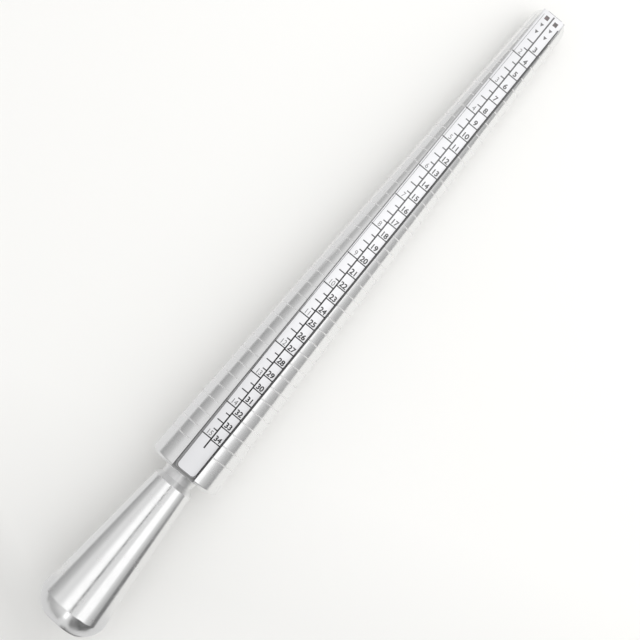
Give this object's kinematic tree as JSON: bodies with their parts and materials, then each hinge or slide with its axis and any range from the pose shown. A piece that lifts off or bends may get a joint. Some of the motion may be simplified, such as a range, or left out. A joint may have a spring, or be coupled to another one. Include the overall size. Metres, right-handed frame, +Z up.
{
  "type": "ring mandrel",
  "caption": "Tapered aluminium ring gauge with turned rings, a flared handle and a flat printed size scale lying in a channel along the taper; a ring slid over it stops at its size.",
  "frame": {"origin": "middle of the part's length and width, at the height of the table that it lies on", "axes": "+X along the part towards the tip, the handle at -X; +Z up, out of the channel and the scale; it lies on the lowest side of its taper"},
  "size_m": [0.2462, 0.0246, 0.0256],
  "materials": {
    "turned_aluminium": "satin turned aluminium with fine lathe marks",
    "printed_plastic": "smooth white plastic, printed with black and grey scale marks"
  },
  "bodies": {
    "root": {"mandrel_body": "turned_aluminium", "scale_strip": "printed_plastic"}
  },
  "joints": []
}
